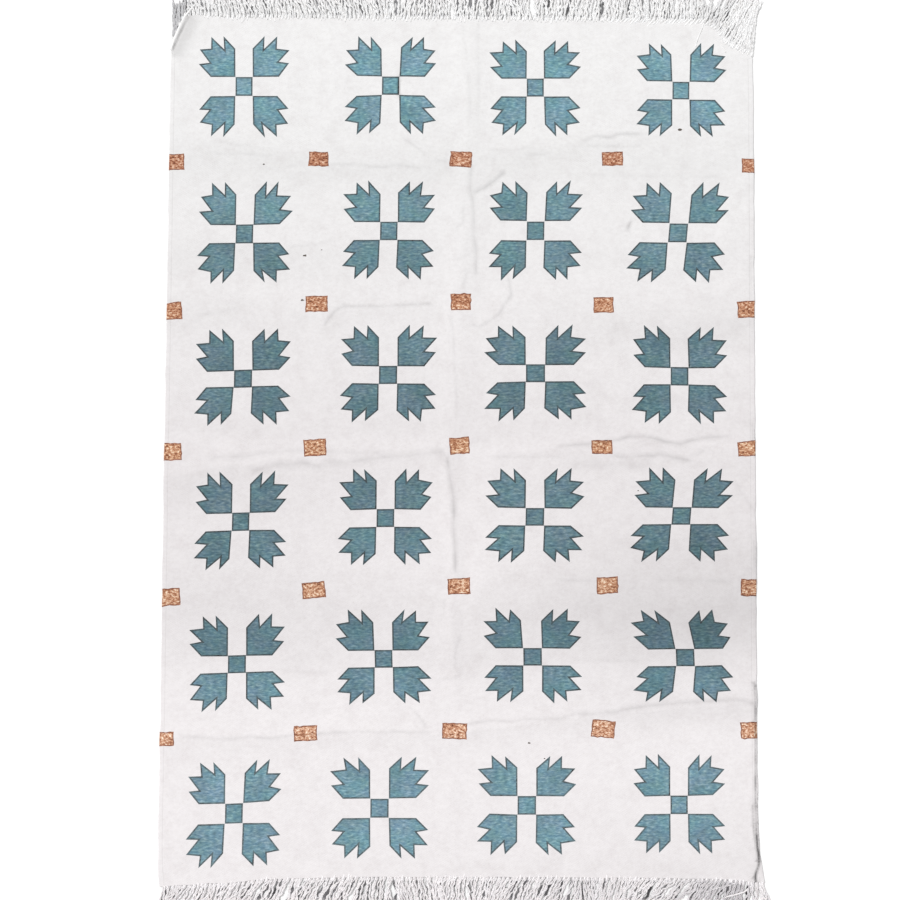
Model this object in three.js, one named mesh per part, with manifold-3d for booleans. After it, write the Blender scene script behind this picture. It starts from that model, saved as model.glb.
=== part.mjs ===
// A flat-woven cotton rug, about 4 by 6 feet, lying on a floor with a loose warp fringe at both
// short ends. Millimetres, +Z up, +Y toward the head end, +X to the right as seen from above.
// The cloth is one thin sheet with hand-woven, slightly uneven sides. Its soft ridges are the
// lines along which it was folded before it was laid out.
import * as THREE from "three";
import Module from "manifold-3d";

// Main sizes
const CLOTH_THICK = 3.5;
const FRINGE_LENGTH = 75;
const PIECE_GAP = 0.3;

// Fringe sizes
const HEADING_WIDE = 5; // the strip of packed warp ends that the locks grow from
const HEADING_THICK = 3.2;
const LOCK_PITCH = 10.2; // measured square to the locks
const LOCK_WIDE = 5.2;
const LOCK_HIGH = 2.8;
const LOCK_TAPER = 0.3; // share of the width lost toward the tip
const LOCK_SET_IN = 3; // how far a lock reaches back into its strip
const LOCK_STEPS = 4;
const LOCK_WAVE = 1.3; // how far it sways to each side
const LOCK_TURNS = { fewest: 0.7, spread: 0.5 }; // full sways along one lock
const LEAN_JITTER = 2; // degrees
const LENGTH_JITTER = 0.16; // share of a lock's length

// Left and right sides, a row for each point where the side changes direction
const SIDES = [
  { along: -887, left: -614, right: 634 },
  { along: -866, left: -617, right: 630 },
  { along: -826, left: -618, right: 624 },
  { along: -765, left: -618, right: 621 },
  { along: -591, left: -616, right: 620 },
  { along: -106, left: -613, right: 622 },
  { along: 312, left: -610, right: 623 },
  { along: 735, left: -607, right: 625 },
  { along: 821, left: -606, right: 624 },
  { along: 842, left: -606, right: 592 },
  { along: 857, left: -606, right: 560 },
  { along: 883, left: -599, right: 546 },
  { along: 898, left: -592, right: 532 },
  { along: 908, left: -584, right: 514 },
];

// How far each end bows out from its straight line, by share of the width from the left
const ENDS = [
  { share: 0, head: 9, foot: 16 },
  { share: 0.035, head: 10, foot: 13 },
  { share: 0.1, head: 5, foot: 8 },
  { share: 0.2, head: 5, foot: -1 },
  { share: 0.35, head: 3, foot: -4 },
  { share: 0.55, head: 1, foot: -4 },
  { share: 0.75, head: -1, foot: -3 },
  { share: 0.92, head: -3, foot: 0 },
  { share: 1, head: -4, foot: 8 },
];
const END_BLEND = 140; // the bow fades out over this length of cloth
const ROLLED_FROM = 857; // the head fringe takes in the left side from this row on
const CUT_FROM = 821; // and the right side from this one

// Grid lines of the cloth, closer together beside the sides, the folds and the corners
const COLUMNS = [
  0, 0.016, 0.04, 0.1, 0.17, 0.24, 0.31, 0.37, 0.42, 0.455, 0.48, 0.5, 0.52, 0.545, 0.59,
  0.65, 0.72, 0.79, 0.86, 0.93, 0.975, 1,
];
const ROWS = [
  -887, -866, -826, -765, -690, -630, -600, -575, -550, -520, -460, -390, -325, -255, -185,
  -120, -65, -38, -12, 14, 60, 130, 200, 250, 278, 300, 322, 370, 440, 520, 575, 600, 625,
  650, 700, 760, 821, 842, 857, 870, 883, 898, 908,
];

// Old fold lines, each a soft ridge that fades out at its two ends
const FOLDS = [
  { name: "centre, head", x1: 22, y1: 905, x2: 20, y2: 523, height: 3.5, reach: 42 },
  { name: "centre, upper", x1: 20, y1: 523, x2: -3, y2: 75, height: 3.2, reach: 42 },
  { name: "centre, middle", x1: -10, y1: 75, x2: -7, y2: -255, height: 5.5, reach: 42 },
  { name: "centre, foot", x1: -14, y1: -300, x2: -3, y2: -480, height: 3, reach: 42 },
  { name: "first cross, left", x1: -530, y1: 652, x2: -39, y2: 600, height: 3.6, reach: 48 },
  { name: "first cross, right", x1: 49, y1: 615, x2: 450, y2: 668, height: 3.2, reach: 48 },
  { name: "second cross, left", x1: -290, y1: 292, x2: -81, y2: 299, height: 3, reach: 44 },
  { name: "second cross, right", x1: 70, y1: 270, x2: 190, y2: 318, height: 3, reach: 44 },
  { name: "third cross, left", x1: -600, y1: -52, x2: -39, y2: -14, height: 4.5, reach: 50 },
  { name: "third cross, right", x1: 100, y1: -8, x2: 560, y2: 8, height: 4, reach: 50 },
  { name: "fourth cross", x1: -600, y1: -270, x2: 600, y2: -252, height: 3, reach: 60 },
  { name: "fifth cross, left", x1: -608, y1: -598, x2: -60, y2: -585, height: 4, reach: 46 },
  { name: "fifth cross, right", x1: -60, y1: -585, x2: 600, y2: -524, height: 4.4, reach: 46 },
];
const FOLD_FADE = 60; // length over which a ridge dies away past its ends

// The corner at the left of the head end is rolled under, so its rim stands a cloth higher
const ROLLED_CORNER = { x: -596, y: 888, height: 3.4, reach: 46 };

// Which way the locks lean from straight out, in degrees toward +X, along each end
const HEAD_LEANS = [
  { x: -607, lean: -7 },
  { x: -560, lean: -12 },
  { x: -470, lean: 6 },
  { x: -330, lean: -5 },
  { x: -190, lean: 9 },
  { x: -40, lean: -4 },
  { x: 130, lean: 7 },
  { x: 290, lean: 2 },
  { x: 420, lean: -6 },
  { x: 500, lean: -3 },
  { x: 545, lean: 13 },
  { x: 572, lean: 25 },
  { x: 592, lean: 24 },
  { x: 624, lean: 20 },
];
const FOOT_LEANS = [
  { x: -617, lean: -3 },
  { x: -520, lean: -13 },
  { x: -380, lean: -8 },
  { x: -240, lean: -17 },
  { x: -90, lean: -7 },
  { x: 60, lean: -15 },
  { x: 230, lean: -6 },
  { x: 380, lean: -9 },
  { x: 470, lean: -20 },
  { x: 545, lean: -34 },
  { x: 566, lean: -30 },
  { x: 580, lean: 12 },
  { x: 634, lean: 20 },
];

// Reads one column of a table between two of its rows, straight or eased
function readTable(table, key, at, column, eased = false) {
  if (at <= table[0][key]) return table[0][column];
  for (let i = 1; i < table.length; i += 1) {
    const a = table[i - 1];
    const b = table[i];
    if (at <= b[key]) {
      const t = (at - a[key]) / (b[key] - a[key]);
      return THREE.MathUtils.lerp(a[column], b[column], eased ? t * t * (3 - 2 * t) : t);
    }
  }
  return table[table.length - 1][column];
}

// Repeatable random numbers from 0 to 1, by the usual multiplying generator
const RANDOM_FACTOR = 16807;
const RANDOM_MODULUS = 2147483647;
function makeRandom(seed) {
  let state = seed;
  return () => {
    state = (state * RANDOM_FACTOR) % RANDOM_MODULUS;
    return state / RANDOM_MODULUS;
  };
}

// Where a grid line of the cloth crosses another, seen from above
function gridPoint(share, along) {
  const left = readTable(SIDES, "along", along, "left");
  const right = readTable(SIDES, "along", along, "right");
  const last = ROWS.length - 1;
  const toHead = THREE.MathUtils.smoothstep(along, ROWS[last] - END_BLEND, ROWS[last]);
  const toFoot = 1 - THREE.MathUtils.smoothstep(along, ROWS[0], ROWS[0] + END_BLEND);
  const bow =
    toHead * readTable(ENDS, "share", share, "head", true) -
    toFoot * readTable(ENDS, "share", share, "foot", true);
  return new THREE.Vector2(THREE.MathUtils.lerp(left, right, share), along + bow);
}

// Height of the cloth's underside above the floor: zero but for the old folds
function liftAt(x, y) {
  let lift = 0;
  for (const fold of FOLDS) {
    const run = new THREE.Vector2(fold.x2 - fold.x1, fold.y2 - fold.y1);
    const length = run.length();
    run.divideScalar(length);
    const from = new THREE.Vector2(x - fold.x1, y - fold.y1);
    const along = from.dot(run);
    const away = Math.abs(from.cross(run));
    const past = Math.max(0, -along, along - length);
    if (away < fold.reach && past < FOLD_FADE) {
      const across = 0.5 * (1 + Math.cos((Math.PI * away) / fold.reach));
      const fade = 0.5 * (1 + Math.cos((Math.PI * past) / FOLD_FADE));
      lift = Math.max(lift, fold.height * across * fade);
    }
  }
  return lift;
}

// Extra height of the upper face alone, where the corner is rolled under
function rollAt(x, y) {
  const away = Math.hypot(x - ROLLED_CORNER.x, y - ROLLED_CORNER.y) / ROLLED_CORNER.reach;
  return away < 1 ? 0.5 * ROLLED_CORNER.height * (1 + Math.cos(Math.PI * away)) : 0;
}

// The cloth: an upper and a lower face on the same grid, and a wall round the rim
function makeCloth() {
  const wide = COLUMNS.length;
  const upper = wide * ROWS.length;
  const positions = [];
  for (const isUpper of [false, true]) {
    for (const along of ROWS) {
      for (const share of COLUMNS) {
        const p = gridPoint(share, along);
        const z = liftAt(p.x, p.y) + (isUpper ? CLOTH_THICK + rollAt(p.x, p.y) : 0);
        positions.push(p.x, p.y, z);
      }
    }
  }
  const index = [];
  for (let row = 0; row < ROWS.length - 1; row += 1) {
    for (let column = 0; column < wide - 1; column += 1) {
      const a = row * wide + column;
      const b = a + 1;
      const c = a + wide + 1;
      const d = a + wide;
      index.push(a, c, b, a, d, c);
      index.push(upper + a, upper + b, upper + c, upper + a, upper + c, upper + d);
    }
  }
  const rim = [];
  for (let column = 0; column < wide - 1; column += 1) rim.push(column);
  for (let row = 0; row < ROWS.length - 1; row += 1) rim.push(row * wide + wide - 1);
  for (let column = wide - 1; column > 0; column -= 1) rim.push(upper - wide + column);
  for (let row = ROWS.length - 1; row > 0; row -= 1) rim.push(row * wide);
  rim.forEach((a, i) => {
    const b = rim[(i + 1) % rim.length];
    index.push(a, b, upper + b, a, upper + b, upper + a);
  });
  const geometry = new THREE.BufferGeometry();
  geometry.setAttribute("position", new THREE.Float32BufferAttribute(positions, 3));
  geometry.setIndex(index);
  return geometry;
}

// A bar through a row of rings with equal numbers of corners. Each ring runs counterclockwise
// as seen from behind, looking along the bar.
function makeBar(manifold, rings) {
  const corners = rings[0].length;
  const faces = [];
  for (let k = 1; k < corners - 1; k += 1) faces.push(0, k, k + 1);
  for (let i = 0; i < rings.length - 1; i += 1) {
    for (let k = 0; k < corners; k += 1) {
      const a = i * corners + k;
      const b = i * corners + ((k + 1) % corners);
      faces.push(a, a + corners, b + corners, a, b + corners, b);
    }
  }
  const end = (rings.length - 1) * corners;
  for (let k = 1; k < corners - 1; k += 1) faces.push(end, end + k + 1, end + k);
  return new manifold.Manifold(
    new manifold.Mesh({
      numProp: 3,
      vertProperties: new Float32Array(rings.flat().flatMap((p) => [p.x, p.y, p.z])),
      triVerts: new Uint32Array(faces),
    }),
  );
}

// Moves each point of a path to its left by a given distance, with mitred corners
function offsetPath(path, distance) {
  const normals = path.slice(1).map((p, i) => {
    const run = p.clone().sub(path[i]).normalize();
    return new THREE.Vector2(-run.y, run.x);
  });
  return path.map((p, i) => {
    const before = normals[Math.max(0, i - 1)];
    const after = normals[Math.min(i, normals.length - 1)];
    const mitre = before.clone().add(after).divideScalar(1 + before.dot(after));
    return p.clone().addScaledVector(mitre, distance);
  });
}

// One lock of yarn: a wavy three-sided bar that lies on the floor on its flat base
function makeLock(manifold, root, heading, length, random) {
  const run = new THREE.Vector2(Math.cos(heading), Math.sin(heading));
  const side = new THREE.Vector2(-run.y, run.x);
  const phase = random() * 2 * Math.PI;
  const turns = LOCK_TURNS.fewest + LOCK_TURNS.spread * random();
  const rings = [];
  for (let i = 0; i <= LOCK_STEPS; i += 1) {
    const t = i / LOCK_STEPS;
    const sway = LOCK_WAVE * Math.sin(phase + t * turns * 2 * Math.PI) * Math.min(1, 2 * t);
    const middle = root.clone().addScaledVector(run, t * length).addScaledVector(side, sway);
    const half = (LOCK_WIDE / 2) * (1 - LOCK_TAPER * t);
    const left = middle.clone().addScaledVector(side, half);
    const right = middle.clone().addScaledVector(side, -half);
    rings.push([
      new THREE.Vector3(left.x, left.y, 0),
      new THREE.Vector3(right.x, right.y, 0),
      new THREE.Vector3(middle.x, middle.y, LOCK_HIGH * (1 - LOCK_TAPER * t)),
    ]);
  }
  return makeBar(manifold, rings);
}

// The fringe of one end. The path is the cloth's rim, and the fringe lies to its left.
function makeFringe(manifold, rim, leans, outward, seed) {
  const random = makeRandom(seed);
  const inner = offsetPath(rim, PIECE_GAP);
  const outer = offsetPath(rim, PIECE_GAP + HEADING_WIDE);
  const strip = inner.map((p, i) => [
    new THREE.Vector3(outer[i].x, outer[i].y, 0),
    new THREE.Vector3(p.x, p.y, 0),
    new THREE.Vector3(p.x, p.y, HEADING_THICK),
    new THREE.Vector3(outer[i].x, outer[i].y, HEADING_THICK),
  ]);
  const solids = [makeBar(manifold, strip)];
  let sinceLast = LOCK_PITCH / 2;
  for (let i = 0; i < outer.length - 1; i += 1) {
    const run = outer[i + 1].clone().sub(outer[i]);
    const length = run.length();
    run.divideScalar(length);
    let gone = 0;
    while (gone < length) {
      const at = outer[i].clone().addScaledVector(run, gone);
      const lean = THREE.MathUtils.degToRad(readTable(leans, "x", at.x, "lean"));
      const heading = outward * (Math.PI / 2 - lean);
      const square = Math.abs(run.cross(new THREE.Vector2(Math.cos(heading), Math.sin(heading))));
      const step = (LOCK_PITCH - sinceLast) / square;
      if (gone + step > length) {
        sinceLast += (length - gone) * square;
        break;
      }
      gone += step;
      sinceLast = 0;
      const jitter = THREE.MathUtils.degToRad(LEAN_JITTER * (2 * random() - 1));
      const reach = FRINGE_LENGTH * (1 - LENGTH_JITTER * random()) + LOCK_SET_IN;
      const root = new THREE.Vector2(Math.cos(heading), Math.sin(heading));
      root.multiplyScalar(-LOCK_SET_IN).add(outer[i]).addScaledVector(run, gone);
      solids.push(makeLock(manifold, root, heading + jitter, reach, random));
    }
  }
  const joined = manifold.Manifold.union(solids).getMesh();
  const geometry = new THREE.BufferGeometry();
  const positions = new THREE.Float32BufferAttribute(joined.vertProperties, 3);
  geometry.setAttribute("position", positions);
  geometry.setIndex(Array.from(joined.triVerts));
  return geometry;
}

// The rim of the cloth along each end, with the cut or rolled corners that belong to it
function headRim() {
  const top = ROWS.length - 1;
  const leftFrom = ROWS.indexOf(ROLLED_FROM);
  const rightFrom = ROWS.indexOf(CUT_FROM);
  const rim = ROWS.slice(leftFrom, top).map((along) => gridPoint(0, along));
  rim.push(...COLUMNS.map((share) => gridPoint(share, ROWS[top])));
  rim.push(...ROWS.slice(rightFrom, top).reverse().map((along) => gridPoint(1, along)));
  return rim;
}

function footRim() {
  return COLUMNS.map((share) => gridPoint(share, ROWS[0])).reverse();
}

const manifold = await Module();
manifold.setup();

const clothYarn = new THREE.MeshStandardMaterial({ color: 0xefeeec, roughness: 0.95 });
const fringeYarn = new THREE.MeshStandardMaterial({ color: 0xe9e7e3, roughness: 0.95 });

const pieces = [
  { name: "rug_cloth", geometry: makeCloth(), material: clothYarn },
  {
    name: "fringe_head",
    geometry: makeFringe(manifold, headRim(), HEAD_LEANS, 1, 4711),
    material: fringeYarn,
  },
  {
    name: "fringe_foot",
    geometry: makeFringe(manifold, footRim(), FOOT_LEANS, -1, 2903),
    material: fringeYarn,
  },
];

// The origin is on the floor, under the middle of the whole rug
const whole = new THREE.Box3();
for (const { geometry } of pieces) {
  geometry.computeBoundingBox();
  whole.union(geometry.boundingBox);
}
const middle = whole.getCenter(new THREE.Vector3());

const group = new THREE.Group();
for (const { name, geometry, material } of pieces) {
  geometry.translate(-middle.x, -middle.y, 0);
  geometry.computeVertexNormals();
  const mesh = new THREE.Mesh(geometry, material);
  mesh.name = name;
  group.add(mesh);
}

export default group;
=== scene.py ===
# A flat-woven off-white cotton rug with teal paw figures, small copper rectangles and a loose
# fringe at both short ends, lying on a pale floor and seen from straight above.
# The sheet and the yarn are worked out in millimetres in the plan frame of the tables below,
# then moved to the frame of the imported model, in metres.
import math

import bpy
import numpy as np
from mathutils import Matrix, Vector, kdtree
from mathutils.geometry import delaunay_2d_cdt


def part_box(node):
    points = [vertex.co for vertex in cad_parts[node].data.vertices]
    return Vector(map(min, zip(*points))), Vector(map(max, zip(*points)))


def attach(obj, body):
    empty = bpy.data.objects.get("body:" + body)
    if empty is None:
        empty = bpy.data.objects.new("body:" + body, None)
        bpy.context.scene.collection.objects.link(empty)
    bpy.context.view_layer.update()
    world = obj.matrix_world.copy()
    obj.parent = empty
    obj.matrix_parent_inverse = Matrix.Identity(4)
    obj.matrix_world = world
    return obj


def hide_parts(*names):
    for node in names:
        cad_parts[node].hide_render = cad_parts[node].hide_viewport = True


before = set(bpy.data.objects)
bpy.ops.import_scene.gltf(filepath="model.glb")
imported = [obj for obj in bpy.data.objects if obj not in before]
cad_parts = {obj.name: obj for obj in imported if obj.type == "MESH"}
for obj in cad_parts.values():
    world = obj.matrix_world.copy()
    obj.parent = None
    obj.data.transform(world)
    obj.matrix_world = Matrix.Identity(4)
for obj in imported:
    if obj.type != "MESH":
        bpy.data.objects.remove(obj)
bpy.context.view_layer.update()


def table(*rows):
    return np.array(rows, float)


# Sizes of the cloth
MM = 0.001
TURN = 2 * math.pi
CLOTH_THICK = 3.5
SHEET_FLAT = (1.235, 1.805)  # metres
MESH_STEP = 10.0  # between the points of the sheet where it is plain
RIM_STEP = 8.0
RIM_RINGS = (0.8, 2.2, 4.5)  # rings of points inside the rim, which round the edge
RIM_ROUND = 2.2  # how far in from the rim the sheet is rounded
RIM_THICK, END_THICKER = 0.32, 0.56  # share of the thickness at the rim, and more at the ends
RIM_IN, RIM_WANDER = 0.9, 0.7  # how far the rim is drawn in, and how far it wanders
RIM_WAVES = (31, 47, 71, 103, 139)
OUTLINE_STEP = 9.0  # between the points of a figure's outline
BOX = ((-1, -1), (1, -1), (1, 1), (-1, 1))  # the corners of a square, counterclockwise

# Left and right sides of the cloth, and how far its ends bow out. They follow the solids but
# for the head's corners: the rolled one is drawn in a little where the fringe lies beside it,
# and the cut one out a little, under its yarns.
SIDES = table(  # along, left, right
    (-887, -614, 634),
    (-866, -617, 630),
    (-826, -618, 624),
    (-765, -618, 621),
    (-591, -616, 620),
    (-106, -613, 622),
    (312, -610, 623),
    (735, -607, 625),
    (831, -606, 624),
    (847, -605, 600),
    (860, -599.5, 568),
    (884, -590, 553),
    (898, -583, 539),
    (908, -577, 518),
)
ENDS = table(  # share of the width from the left, head, foot
    (0, 9, 16),
    (0.035, 10, 13),
    (0.1, 5, 8),
    (0.2, 5, -1),
    (0.35, 3, -4),
    (0.55, 1, -4),
    (0.75, -1, -3),
    (0.92, -3, 0),
    (1, -4, 8),
)
FOOT_LINE, HEAD_LINE, END_BLEND = -887.0, 908.0, 140.0
ROLLED_FROM, CUT_FROM = 857.0, 831.0
SIDE_REACH = 60.0  # as far as the distance from a side is told apart

# Old fold lines as soft ridges: height, reach, how pointed the crest is, then the points
FOLDS = [
    (3.0, 44, 1.5, (22, 905), (21, 700), (20, 523)),
    (3.0, 44, 1.5, (20, 523), (12, 405), (1, 247), (-3, 75)),
    (4.4, 44, 1.7, (-20, 10), (-18, -30), (-9, -85), (-8, -187), (-6, -262)),
    (3.0, 42, 1.6, (-16, -310), (-3, -470)),
    (3.6, 60, 1.6, (-530, 652), (-386, 631), (-272, 600), (-91, 598), (-39, 606)),
    (3.2, 60, 1.6, (49, 619), (136, 628), (310, 655), (450, 668)),
    (1.8, 46, 1.6, (-282, 262), (-254, 294), (-194, 299), (-81, 299)),
    (1.6, 46, 1.6, (70, 268), (108, 305), (190, 318)),
    (4.4, 64, 1.7, (-600, -58), (-468, -33), (-357, -38), (-237, -29), (-39, -12)),
    (4.0, 60, 1.7, (100, -10), (264, 6), (393, 22), (522, 4), (580, 0)),
    (3.4, 26, 2.4, (332, -23), (437, -17), (497, -23)),
    (4.0, 90, 1.3, (60, -262), (300, -250), (600, -252)),
    (2.4, 80, 1.3, (-600, -268), (-200, -262), (-20, -262)),
    (4.0, 46, 1.9, (-608, -598), (-423, -598), (-276, -585), (-88, -585), (-38, -588)),
    (4.4, 52, 2, (-38, -588), (40, -580), (133, -568), (245, -555), (390, -540), (603, -524)),
]
FOLD_FADE = 60.0

# Narrow pressed lines in the upper face: depth, reach, share of the light lost, then the points. The light
# lost is shade painted into the colour; at the thick place in a square's edge and the two small marks it is
# the cloth's own darker colour
CREASES = [
    # inside the rolled corner, a line of painted shade
    (1.0, 5, 0.44, (-598, 850), (-588, 873), (-577, 896), (-567, 914)),
    # along the middle, from the head
    (0.5, 6, 0.05, (10, 898), (18, 842), (22, 799), (27, 735), (27, 697)),
    (0.5, 6, 0.05, (45, 898), (45, 821), (46, 718)),
    (0.9, 8, 0.14, (30, 591), (28, 574), (27, 544), (33, 523), (35, 491), (35, 449), (39, 417),
     (40, 403), (39, 367)),
    (0.7, 6, 0.09, (14, 506), (12, 474), (-1, 466)),
    (0.6, 6, 0.07, (24, 409), (12, 403), (-1, 398)),
    (0.6, 8, 0.08, (20, 371), (14, 344)),
    (0.7, 6, 0.08, (-12, 274), (-7, 228), (-7, 186), (-3, 144), (-2, 102), (-1, 71)),
    (1.6, 10, 0.24, (-21, -23), (-18, -44), (-15, -65), (-11, -85), (-8, -106), (-7, -137)),
    (1.4, 9, 0.22, (-7, -137), (-8, -168), (-6, -200), (-4, -231), (-5, -251)),
    (0.7, 7, 0.08, (-26, -313), (-28, -346)),
    (0.8, 8, 0.09, (5, -394), (-5, -427), (-5, -452)),
    (0.5, 6, 0.06, (-49, -482), (-24, -476), (-5, -476), (5, -468)),
    # the first fold across
    (0.5, 7, 0.06, (-508, 650), (-464, 640), (-437, 638)),
    (0.5, 7, 0.06, (-508, 621), (-443, 621), (-403, 616)),
    (0.5, 6, 0.06, (-401, 589), (-342, 595)),
    (0.7, 6, 0.10, (-260, 599), (-232, 599), (-201, 597), (-163, 591), (-131, 597), (-87, 593)),
    (0.6, 6, 0.08, (-47, 606), (-26, 606)),
    (0.7, 6, 0.09, (-117, 657), (-83, 633), (-68, 619)),
    (0.6, 6, 0.07, (47, 631), (106, 627), (132, 629), (148, 636)),
    (0.6, 6, 0.07, (153, 619), (184, 619)),
    (1.1, 8, 0.20, (96, 580), (79, 565), (60, 551), (39, 540)),
    (1.0, 7, 0.19, (270, 650), (292, 659), (319, 655), (342, 663), (384, 663)),
    (0.6, 6, 0.07, (273, 638), (357, 636), (384, 638)),
    (0.4, 10, 0.04, (287, 576), (384, 574), (541, 572)),
    # a thick place in the edge of a square, and two small marks
    (0.3, 6, 0.62, (-124.4, 786), (-124.8, 748)),
    (0.5, 6, 0.34, (359, 467), (362, 474), (365, 480)),
    (0.2, 6, 0.10, (358, 463), (359, 459)),
    # the second
    (0.8, 7, 0.16, (-277, 260), (-267, 275), (-254, 291), (-236, 299), (-164, 299), (-58, 304)),
    (0.8, 7, 0.15, (108, 354), (114, 323), (97, 299), (89, 283), (70, 270), (47, 255), (32, 260)),
    (0.5, 9, 0.05, (-531, 281), (-493, 287), (-466, 293)),
    (0.5, 8, 0.07, (-349, 424), (-297, 428), (-265, 436)),
    # the third
    (0.7, 11, 0.10, (-508, -18), (-438, -15), (-399, -7), (-334, -3), (-230, -8), (-162, -8)),
    (1.3, 16, 0.17, (-427, -49), (-404, -41), (-372, -31), (-339, -33), (-326, -29), (-307, -32)),
    (1.2, 15, 0.15, (-307, -32), (-287, -37), (-271, -28), (-229, -28), (-198, -23), (-162, -18),
     (-99, -13), (-36, -6)),
    (0.5, 6, 0.06, (64, -17), (130, -17), (214, -17)),
    (1.1, 8, 0.22, (214, 6), (278, 11), (337, 19), (354, 25), (385, 26), (410, 22), (434, 15), (464, 10)),
    (1.1, 8, 0.20, (464, 10), (487, 17), (510, 22), (538, 25), (562, 26)),
    (1.4, 10, 0.22, (329, -16), (357, -17), (383, -15), (411, -14), (422, -11), (437, -14),
     (457, -19), (480, -23)),
    (0.9, 7, 0.12, (487, -16), (499, -14), (510, -6)),
    (0.7, 22, 0.08, (248, -32), (330, -36), (400, -35)),
    (0.5, 7, 0.07, (579, -71), (618, -129)),
    # the fourth
    (0.5, 8, 0.07, (213, -274), (271, -274)),
    (0.5, 8, 0.07, (421, -272), (504, -274), (560, -276)),
    (0.4, 7, 0.05, (-380, -455), (-350, -462), (-270, -464)),
    (0.5, 8, 0.05, (241, -439), (295, -439), (374, -441)),
    # the fifth
    (1.0, 7, 0.13, (-565, -595), (-473, -599), (-427, -595), (-385, -599), (-349, -593)),
    (1.0, 7, 0.11, (-349, -593), (-255, -587), (-202, -584), (-119, -585), (-65, -586)),
    (0.8, 6, 0.09, (-98, -535), (-80, -552), (-65, -573)),
    (1.0, 7, 0.12, (26, -569), (71, -562), (113, -565), (131, -560), (216, -558), (237, -550), (258, -546)),
    (1.1, 9, 0.18, (258, -549), (270, -548), (327, -544), (340, -540), (386, -533), (456, -526)),
    (1.0, 9, 0.17, (456, -526), (551, -520), (589, -520), (611, -526)),
    # beside the right selvedge, lines of painted shade along the edge
    (0.9, 5, 0.16, (616, 50), (616, 12)),
    (0.6, 5, 0.10, (615, 405), (615, 320)),
    (0.7, 5, 0.12, (616, -190), (616, -246)),
    (1.6, 4.6, 0.58, (615, -490), (616, -560), (616, -622), (615, -704), (616, -765), (617, -800)),
    (0.9, 4.6, 0.42, (609, -735), (609, -765), (611.5, -795), (616.5, -822), (620, -836)),
    (2.6, 5.2, 1.2, (617, -800), (618, -818), (621, -838), (621, -858), (615, -872), (613, -884),
     (616, -900)),
]
CREASE_FADE = 14.0
MOST_DARK = 0.88

# Broad bands across the rug that face away from the light, painted into the colour as shade: along,
# half width, light lost toward the left side, in the middle and toward the right side
SHADES = [
    (598, 46, 0.03, 0.022, 0.022),
    (397, 40, 0.045, 0, 0.02),
    (285, 40, 0.04, 0, 0.035),
    (236, 40, 0.022, 0, 0.062),
    (75, 130, 0.045, 0.042, 0.05),
    (38, 20, 0.02, 0.018, 0.016),
    (-86, 62, 0.06, 0.012, 0.062),
    (-250, 110, 0.07, 0.014, 0.15),
    (-372, 72, 0.062, 0.05, 0.15),
    (-440, 34, 0.02, 0.03, 0.04),
    (-522, 52, 0, 0.006, 0.062),
    (-800, 70, 0, 0.012, 0.034),
    (-880, 42, 0.004, 0.024, 0.052),
]
SHADE_PLACES = (-430.0, 20.0, 440.0)

# The corner at the left of the head end is rolled under
ROLL_RIM = [(-607, 838), (-603.5, 851), (-594.5, 873), (-584.5, 896), (-576, 918)]
ROLL_HEIGHT, ROLL_WIDE, ROLL_SLOPE, ROLL_REACH = 4.6, 6.0, 3.4, 44.0
# shade painted into the colour beside the rolled rim
ROLL_SHADE = 0.17
ROLL_OFFSETS = (3.2, 5, 7, 9, 11.5, 15, 20, 27)  # of the rows of points beside it

# Figures
COLUMNS, COLUMN_PITCH, FIRST_COLUMN = 4, 305.0, -450.0
ROW_PLACES = (762.0, 457.0, 155.0, -141.0, -432.0, -739.0)
SQUARE = (37.0, 38.5)
USUAL_SIZE = (196.0, 205.0)  # of the figure that has such a square
PAW_GAP = 0.3  # between a corner of the square and its paw
LINE_WIDE = 3.2  # the dark line round a figure
# A paw by the usual rule of the block: a square of two units by two, with two half-square
# claws on each outer side. Across and along, in units, outward from the centre square.
PAW = [
    (0.0, 0.0),
    (0.02, 2.1),
    (0.99, 3.0),
    (0.95, 2.1),
    (2.0, 3.0),
    (1.97, 2.1),
    (3.0, 2.0),
    (2.12, 1.07),
    (3.0, 0.95),
    (2.07, 0.0),
]
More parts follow.
